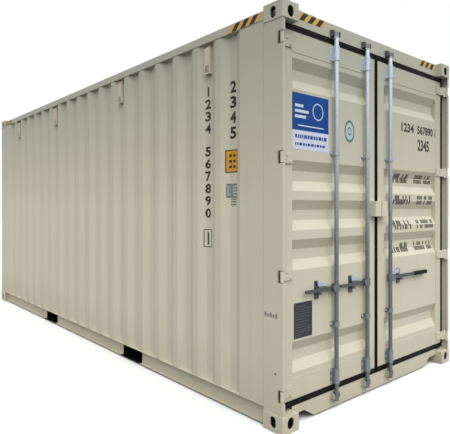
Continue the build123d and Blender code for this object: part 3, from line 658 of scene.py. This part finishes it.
def makePocketSills():
    # the strip under each pocket mouth that carries the lower edge of the rail across; near-black, as bitumen
    # and as painted shade of the tunnel mouth
    shape = bmesh.new()
    for hand in (-1, 1):
        for middle in pocket["places"]:
            ends = sorted((hand * (box["side"] - pocket["outer"]), hand * (box["side"] - pocket["inner"])))
            addBlock(shape, (middle - pocket["half"], ends[0], pocket["foot"]),
                     (middle + pocket["half"], ends[1], pocket["head"]))
    newPiece("pocketSills", shape, "root", bitumenAndShade)


bracket = {
    "plate": 56, "across": 33, "up": 43, "rivetRadius": 6, "rivetHeight": 4, "boltRadius": 7, "boltHeight": 5,
    "heights": (doorLow + 66, doorHigh - 72), "guideHeights": (641, 1919),
}


def makeBracketRivets():
    x = box["rear"] - bracket["plate"]
    for door in handSides:
        shape = bmesh.new()
        for y in [place for owner, place in rodPlaces if owner == door]:
            for height in bracket["heights"]:
                for across in (-bracket["across"], bracket["across"]):
                    for up in (-bracket["up"], 0, bracket["up"]):
                        addRivet(shape, (x, y + across, height + up), (1, 0, 0), bracket["rivetRadius"],
                                 bracket["rivetHeight"])
            for height in bracket["guideHeights"]:
                for across in (-bracket["across"], bracket["across"]):
                    addBolt(shape, (x, y + across, height), (1, 0, 0), bracket["boltRadius"],
                            bracket["boltHeight"])
        newPiece(door + "BracketRivets", shape, door, zincBright)


# catches that hold the handles; a hand of -1 points to the left side
catch = {
    "height": 916, "offsets": (204, 196, 172), "hands": (-1, -1, 1),
    "pinUp": 51, "pinPlane": 47, "pinRadius": 6, "pinHeight": 3.5,
    "rivetDown": 52, "rivetAcross": 16, "rivetPlane": 55, "rivetRadius": 5, "rivetHeight": 3,
    "haspUp": 22, "haspThick": 5, "haspPlane": 46,
    "haspOutline": ((6, 38), (-4, 2), (-124, -6), (-124, 6), (-60, 26), (-20, 46)),
}


def catchesOf(door):
    rows = zip(rodPlaces, catch["hands"], catch["offsets"])
    return [(y + hand * offset, hand) for (owner, y), hand, offset in rows if owner == door]


def makeCatchPins():
    for door in handSides:
        shape = bmesh.new()
        for middle, _ in catchesOf(door):
            addRivet(shape, (box["rear"] - catch["pinPlane"], middle, catch["height"] + catch["pinUp"]),
                     (1, 0, 0), catch["pinRadius"], catch["pinHeight"])
            for across in (-catch["rivetAcross"], catch["rivetAcross"]):
                spot = (box["rear"] - catch["rivetPlane"], middle + across,
                        catch["height"] - catch["rivetDown"])
                addRivet(shape, spot, (1, 0, 0), catch["rivetRadius"], catch["rivetHeight"])
        newPiece(door + "CatchPins", shape, door, zincLight)


def makeHasps():
    # the flap that drops over the handle, here hanging free beside it
    for door in handSides:
        shape = bmesh.new()
        for middle, hand in catchesOf(door):
            x, up = box["rear"] - catch["haspPlane"], catch["height"] + catch["haspUp"]
            corners = [shape.verts.new(Vector((x, middle + across * hand, up + lift)) * mm)
                       for across, lift in catch["haspOutline"]]
            plate = shape.faces.new(corners)
            grown = bmesh.ops.extrude_face_region(shape, geom=[plate])
            moved = [part for part in grown["geom"] if isinstance(part, bmesh.types.BMVert)]
            bmesh.ops.translate(shape, vec=(-catch["haspThick"] * mm, 0, 0), verts=moved)
        bmesh.ops.recalc_face_normals(shape, faces=shape.faces)
        newPiece(door + "Hasps", shape, door, zincBright)


keeper = {"plane": 59, "half": 41, "high": 56, "weldRadius": 2.6}


def makeKeeperWelds():
    shape = bmesh.new()
    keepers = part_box("cam_keepers")
    x = box["rear"] - keeper["plane"]
    for _, y in rodPlaces:
        for low in (keepers[0].z / mm, keepers[1].z / mm - keeper["high"]):
            for up in (low, low + keeper["high"]):
                addRod(shape, (x, y - keeper["half"], up), (x, y + keeper["half"], up), keeper["weldRadius"])
    newPiece("keeperWelds", shape, "root", weldPaint)


makeHingeBolts()
makeNotchBacks()
makePocketSills()
makeBracketRivets()
makeCatchPins()
makeHasps()
makeKeeperWelds()
print("hardware made")

lip = {"plane": 58, "radius": 3.0, "fromEdge": 14, "fromMiddle": 12, "fromSide": 46}


def makeGasketLips():
    x = box["rear"] - lip["plane"]
    for door, hand in handSides.items():
        shape = bmesh.new()
        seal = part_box(door + "_gasket")
        low, high = seal[0].z / mm + lip["fromEdge"], seal[1].z / mm - lip["fromEdge"]
        near, far = hand * lip["fromMiddle"], hand * (box["side"] - lip["fromSide"])
        addRod(shape, (x, near, high), (x, far, high), lip["radius"])
        addRod(shape, (x, near, low), (x, far, low), lip["radius"])
        addRod(shape, (x, near, low), (x, near, high), lip["radius"])
        newPiece(door + "GasketLip", shape, door, gasketRubber)


makeGasketLips()
print("gaskets made")

vent = {
    "recesses": (-8, -3, 3, 8), "shadeBars": 5, "pitch": 11, "low": 16,
    "plane": 14, "half": 24, "back": 3, "front": 0.8, "thick": 5,
}


def makeVentOpeningShade():
    # painted shade: black bars at the foot of each vent stand for the shade in its openings
    shape = bmesh.new()
    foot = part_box("ventilators")[0].z / mm
    for hand in (-1, 1):
        y = hand * (box["side"] - vent["plane"])
        near, far = min(y, y - hand * vent["back"]), max(y, y + hand * vent["front"])
        for middle in [recess["wallPitch"] * place for place in vent["recesses"]]:
            for shadeBar in range(vent["shadeBars"]):
                z = foot + vent["low"] + shadeBar * vent["pitch"]
                addBlock(shape, (middle - vent["half"], near, z),
                         (middle + vent["half"], far, z + vent["thick"]))
    newPiece("ventOpeningShade", shape, "root", blackFilm)


makeVentOpeningShade()
print("ventilators made")

# the markings are plain bars, counting numerals and hazard stripes only, and their places are
# along, or from the left side on the doors, then up
layer = {"first": 0.8, "second": 1.2, "third": 1.6}  # how proud of the sheet each film lies
stripes = {
    "pitch": 92, "width": 50, "lean": 0.9, "overProud": 1.3,
    "header": {"headerLeftStripes": (-1010, -670, 2830, 2885), "headerRightStripes": (716, 1054, 2832, 2885)},
    "rail": {"railRearStripes": (box["rear"] - 548, box["rear"] - 180, 2809, 2862),
             "railFrontStripes": (180 - box["rear"], 548 - box["rear"], 2809, 2862)},
}


def makeStripes(name, place, outward, plane, low, high, lowUp, highUp):
    reach = stripes["lean"] * (highUp - lowUp) / 2
    half = stripes["width"] / 2
    count = int((high - low - 2 * reach - stripes["width"]) / stripes["pitch"]) + 1
    start = (low + high) / 2 - (count - 1) * stripes["pitch"] / 2
    middles = [start + index * stripes["pitch"] for index in range(count)]
    under = drawPatches([(low + reach, high - reach, lowUp, highUp, stripes["lean"])])
    over = drawPatches([(middle - half, middle + half, lowUp, highUp, stripes["lean"]) for middle in middles])
    for part, shape, film, proud in (("Amber", under, yellowFilm, layer["first"]),
                                     ("Black", over, blackFilm, stripes["overProud"])):
        place(shape, proud, plane)
        facingOut(shape, outward)
        newPiece(name + part, shape, "root", film)


def doorMark(name, shape, body, film, proud=layer["first"]):
    cutAt(shape, 1, doorRecesses)
    onDoor(shape, proud)
    facingOut(shape, (1, 0, 0))
    newPiece(name, shape, body, film)


def sideMark(name, shape, film, proud=layer["first"]):
    cutAt(shape, 0, wallRecesses)
    onSide(shape, proud)
    facingOut(shape, (0, -1, 0))
    newPiece(name, shape, "root", film)


fromLeft = -box["side"]  # turns a distance from the left side into the drawing's across
numerals = {
    "door": (("1234", 1634, 1858, 2187, 2267), ("567890", 1918, 2222, 2187, 2267),
             ("1", 2262, 2272, 2187, 2267), ("2345", 1925, 2143, 2035, 2138)),
    # text, middle, width, top of the first numeral and step down to the next
    "side": (("1234", 2208, 64, 2470, 98), ("567890", 2208, 64, 1995, 98),
             ("1", 2208, 64, 1315, 125), ("2345", 2500, 68, 2463, 115)),
    "narrow": 18, "fill": 0.78,
    "frame": ((2164, 2170, 1196, 1338), (2246, 2252, 1196, 1338), (2170, 2246, 1196, 1202),
              (2170, 2246, 1332, 1338)),
}


def makeDoorNumerals():
    rows = [placedNumerals(text, fromLeft + low, fromLeft + high, foot, head)
            for text, low, high, foot, head in numerals["door"]]
    doorMark("doorNumerals", joinShapes(rows), "right_door", blackFilm)


table = {
    "blocks": (1771, 1577, 1356, 1153), "height": 80,
    "label": (1497, 1790), "labelWidth": 19, "labelSteps": (26, 26, 26, 40), "footCut": 30, "headCut": 34,
    "values": (1915, 2235), "valueWidth": 17, "valueSteps": (25, 25, 25, 60), "line": 44, "valueUp": (2, 36),
}


def makeDoorTable():
    # words and weights as plain upright bars
    shape = bmesh.new()
    for middle in table["blocks"]:
        low, high = middle - table["height"] / 2, middle + table["height"] / 2
        across = table["label"][0]
        while across < table["label"][1]:
            foot, head = random.choice(((low, high), (low, high), (low + table["footCut"], high),
                                        (low, high - table["headCut"])))
            addPatch(shape, fromLeft + across, fromLeft + across + table["labelWidth"], foot, head)
            across += random.choice(table["labelSteps"])
        for line in (low, low + table["line"]):
            foot, head = [line + up for up in table["valueUp"]]
            across = table["values"][0]
            while across < table["values"][1]:
                addPatch(shape, fromLeft + across, fromLeft + across + table["valueWidth"], foot, head)
                across += random.choice(table["valueSteps"])
    doorMark("doorTable", shape, "right_door", blackFilm)


sign = {
    "low": 166, "high": 576, "foot": 1920, "split": 2055, "head": 2316,
    "lines": ((28, 118, 2218, 2238), (28, 178, 2180, 2200), (28, 148, 2142, 2162), (60, 350, 2086, 2094)),
    "ring": (285, 2205, 62, 54),
    "rows": ((2000, 26), (1950, 18)), "margins": (30, 40), "bars": (14, 20, 30), "gap": 9,
}


def makeSign():
    low, high = fromLeft + sign["low"], fromLeft + sign["high"]
    doorMark("signWhite", drawPatches([(low, high, sign["foot"], sign["split"])]), "left_door", whiteFilm)
    doorMark("signBlue", drawPatches([(low, high, sign["split"], sign["head"])]), "left_door", blueFilm)
    light = drawPatches([(low + near, low + far, foot, head) for near, far, foot, head in sign["lines"]])
    across, up, outer, inner = sign["ring"]
    addRing(light, low + across, up, outer, inner)
    doorMark("signLines", light, "left_door", whiteFilm, layer["second"])
    dark = bmesh.new()
    for line, size in sign["rows"]:
        across = low + sign["margins"][0]
        while across < high - sign["margins"][1]:
            width = random.choice(sign["bars"])
            addPatch(dark, across, across + width, line, line + size)
            across += width + sign["gap"]
    doorMark("signBars", dark, "left_door", blueFilm, layer["second"])


roundMark = {"across": 845, "up": 2106, "disc": 80, "rings": ((87, 68), (34, 22)), "narrowing": 0.74}


def makeRoundMark():
    middle, up = fromLeft + roundMark["across"], roundMark["up"]
    narrow = Matrix.Translation((middle * mm, 0, 0)) @ Matrix.Diagonal((roundMark["narrowing"], 1, 1, 1))
    narrow = narrow @ Matrix.Translation((-middle * mm, 0, 0))
    disc = bmesh.new()
    addRing(disc, middle, up, roundMark["disc"], 0)
    disc.transform(narrow)
    doorMark("roundMarkWhite", disc, "left_door", paleFilm)
    ring = bmesh.new()
    for outer, inner in roundMark["rings"]:
        addRing(ring, middle, up, outer, inner)
    ring.transform(narrow)
    doorMark("roundMarkRing", ring, "left_door", fadedBlueFilm, layer["second"])


dataPlate = {
    "low": 183, "high": 383, "foot": 597, "head": 846, "thick": 1.5, "rounding": 0.5,
    "rivetInset": 10, "rivetRadius": 4, "rivetHeight": 2,
    "lines": 12, "firstLine": 30, "pitch": 18, "margin": 18, "lengths": (130, 160, 182), "lineHigh": 4,
    "lineProud": 2.0,
}


def makeDataPlate():
    low, high = fromLeft + dataPlate["low"], fromLeft + dataPlate["high"]
    foot, head, inset = dataPlate["foot"], dataPlate["head"], dataPlate["rivetInset"]
    x = box["rear"] - box["panelPlane"]
    front = x + dataPlate["thick"]
    plate = bmesh.new()
    addBlock(plate, (x, low, foot), (front, high, head), dataPlate["rounding"])
    newPiece("dataPlate", plate, "left_door", plateFilm)
    rivets = bmesh.new()
    for across in (low + inset, high - inset):
        for up in (foot + inset, head - inset):
            addRivet(rivets, (front, across, up), (1, 0, 0), dataPlate["rivetRadius"],
                     dataPlate["rivetHeight"])
    newPiece("dataPlateRivets", rivets, "left_door", zincLight)
    lines = bmesh.new()
    start = low + dataPlate["margin"]
    for index in range(dataPlate["lines"]):
        up = head - dataPlate["firstLine"] - index * dataPlate["pitch"]
        end = low + random.choice(dataPlate["lengths"])
        addPatch(lines, start, end, up, up + dataPlate["lineHigh"])
    doorMark("dataPlateLines", lines, "left_door", plateLines, dataPlate["lineProud"])


# two labels under the numerals and the small marks on the rear post
label = {
    "edge": [(2430, 2552, 1774, 1946)],
    "orange": [(2438, 2544, 1782, 1938)],
    "bars": [(x, x + 26, up, up + 20) for x in (2460, 2500) for up in (1808, 1850, 1892)],
    "grey": [(2437, 2544, 1585, 1691)] + [(2476, 2536, up - 6, up + 4) for up in (1535, 1557, 1575)],
    "lines": [(2494, 2538, up - 5, up + 5) for up in (1604, 1626, 1648, 1670)]
    + [(x, x + 6, 1598, 1678) for x in (2448, 2466)],
    "post": [(box["rear"] - 168 + 25 * k, box["rear"] - 154 + 25 * k, 770, 800 - k % 2 * 8)
             for k in range(5)],
    "postDot": (box["rear"] - 70, 396, 9, 0),
}


def makeSideMarks():
    columns = []
    for text, middle, width, head, step in numerals["side"]:
        for index, digit in enumerate(text):
            half = (numerals["narrow"] if digit == "1" else width) / 2
            top = head - index * step
            foot = top - step * numerals["fill"]
            columns.append(placedNumerals(digit, middle - half, middle + half, foot, top))
    columns.append(drawPatches(numerals["frame"]))
    sideMark("sideNumerals", joinShapes(columns), blackFilm)
    sideMark("orangeLabelEdge", drawPatches(label["edge"]), blackFilm)
    sideMark("orangeLabel", drawPatches(label["orange"]), orangeFilm, layer["second"])
    sideMark("orangeLabelBars", drawPatches(label["bars"]), blackFilm, layer["third"])
    sideMark("greyLabel", drawPatches(label["grey"]), greyFilm)
    sideMark("greyLabelLines", drawPatches(label["lines"]), paleFilm, layer["second"])
    post = drawPatches(label["post"])
    addRing(post, *label["postDot"])
    onSide(post, layer["first"], box["postInset"])
    facingOut(post, (0, -1, 0))
    newPiece("postMarks", post, "root", greyFilm)


for name, spot in stripes["header"].items():
    makeStripes(name, onDoor, (1, 0, 0), box["doorPlane"], *spot)
for name, spot in stripes["rail"].items():
    makeStripes(name, onSide, (0, -1, 0), box["postInset"], *spot)
makeDoorNumerals()
makeDoorTable()
makeSign()
makeRoundMark()
makeDataPlate()
makeSideMarks()
print("markings made")

floor = {
    "members": (140, 420, 700, 1290, 1575, 1860, 2145, 2430, 2715), "beside": 22,
    "rows": 9, "inset": 90, "radius": 6, "below": 0.5, "proud": 0.4,
}


def makeFloorScrews():
    shape = bmesh.new()
    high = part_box("floor_boards")[1]
    low, top = high.z / mm - floor["below"], high.z / mm + floor["proud"]
    reach = high.y / mm - floor["inset"]
    for x in [end * member + floor["beside"] for member in floor["members"] for end in (-1, 1)]:
        for index in range(floor["rows"]):
            y = -reach + 2 * reach * index / (floor["rows"] - 1)
            addRod(shape, (x, y, low), (x, y, top), floor["radius"])
    newPiece("floorScrews", shape, "root", zincDark)


makeFloorScrews()
print("inside made")

studio = {
    "floor": "#F4F4F2", "bounce": "#6E6C68", "sky": "#F3F6FA", "world": 0.6, "reach": 60,  # reach in m
    "key": {"toward": (0.62, 0.05, 0.78), "strength": 1.9},
    "fill": {"toward": (0.35, -0.55, 0.76), "strength": 1.8},
    "softness": 60,
}


def stageFloor():
    # pale to the camera, darker to the light that it throws back on the walls
    material, tree, _ = startMaterial("pale studio floor")
    pale = addNode(tree, "ShaderNodeBsdfDiffuse", inputs={"Color": linear(studio["floor"])})
    bounce = addNode(tree, "ShaderNodeBsdfDiffuse", inputs={"Color": linear(studio["bounce"])})
    path = addNode(tree, "ShaderNodeLightPath")
    seen = addNode(tree, "ShaderNodeMath", {"operation": "MAXIMUM"},
                   links={0: path.outputs["Is Camera Ray"], 1: path.outputs["Is Glossy Ray"]})
    mixed = addNode(tree, "ShaderNodeMixShader",
                    links={0: seen.outputs["Value"], 1: bounce.outputs["BSDF"], 2: pale.outputs["BSDF"]})
    endMaterial(tree, mixed.outputs["Shader"])
    shape = bmesh.new()
    bmesh.ops.create_grid(shape, x_segments=1, y_segments=1, size=studio["reach"])
    newObject("studioFloor", shape, material)


def worldLight():
    world = bpy.data.worlds.new("studio")
    bpy.context.scene.world = world
    world.use_nodes = True
    tree = world.node_tree
    tree.nodes.clear()
    soft = addNode(tree, "ShaderNodeBackground",
                   inputs={"Color": linear(studio["sky"]), "Strength": studio["world"]})
    backdrop = addNode(tree, "ShaderNodeBackground", inputs={"Color": (1, 1, 1, 1), "Strength": 1.0})
    path = addNode(tree, "ShaderNodeLightPath")
    direct = addNode(tree, "ShaderNodeMath", {"operation": "MAXIMUM"},
                     links={0: path.outputs["Is Camera Ray"], 1: path.outputs["Is Glossy Ray"]})
    seen = addNode(tree, "ShaderNodeMath", {"operation": "MAXIMUM"},
                   links={0: direct.outputs["Value"], 1: path.outputs["Is Transmission Ray"]})
    mixed = addNode(tree, "ShaderNodeMixShader",
                    links={0: seen.outputs["Value"], 1: soft.outputs["Background"],
                           2: backdrop.outputs["Background"]})
    addNode(tree, "ShaderNodeOutputWorld", links={"Surface": mixed.outputs["Shader"]})


def addSun(name, toward, strength):
    lamp = bpy.data.lights.new(name, "SUN")
    lamp.energy = strength
    lamp.angle = math.radians(studio["softness"])
    holder = bpy.data.objects.new(name, lamp)
    holder.rotation_euler = Vector(toward).to_track_quat("Z", "Y").to_euler()
    bpy.context.scene.collection.objects.link(holder)


# fitted to the photo, in m and radians
camera = {"lens": 38.39, "shift": (0.0382, -0.0239), "place": (5.1507, -3.6148, 1.5214), "turn": 0.8799}


def addCamera():
    lens = bpy.data.cameras.new("photoCamera")
    lens.lens = camera["lens"]
    lens.sensor_width = 36
    lens.shift_x, lens.shift_y = camera["shift"]
    lens.clip_end = 200
    holder = bpy.data.objects.new("photoCamera", lens)
    holder.location = camera["place"]
    holder.rotation_euler = (math.pi / 2, 0, camera["turn"])
    bpy.context.scene.collection.objects.link(holder)
    bpy.context.scene.camera = holder


stageFloor()
worldLight()
addSun("keySun", **studio["key"])
addSun("fillSun", **studio["fill"])
addCamera()
bpy.context.scene.view_settings.view_transform = "Standard"
print("stage and camera made")
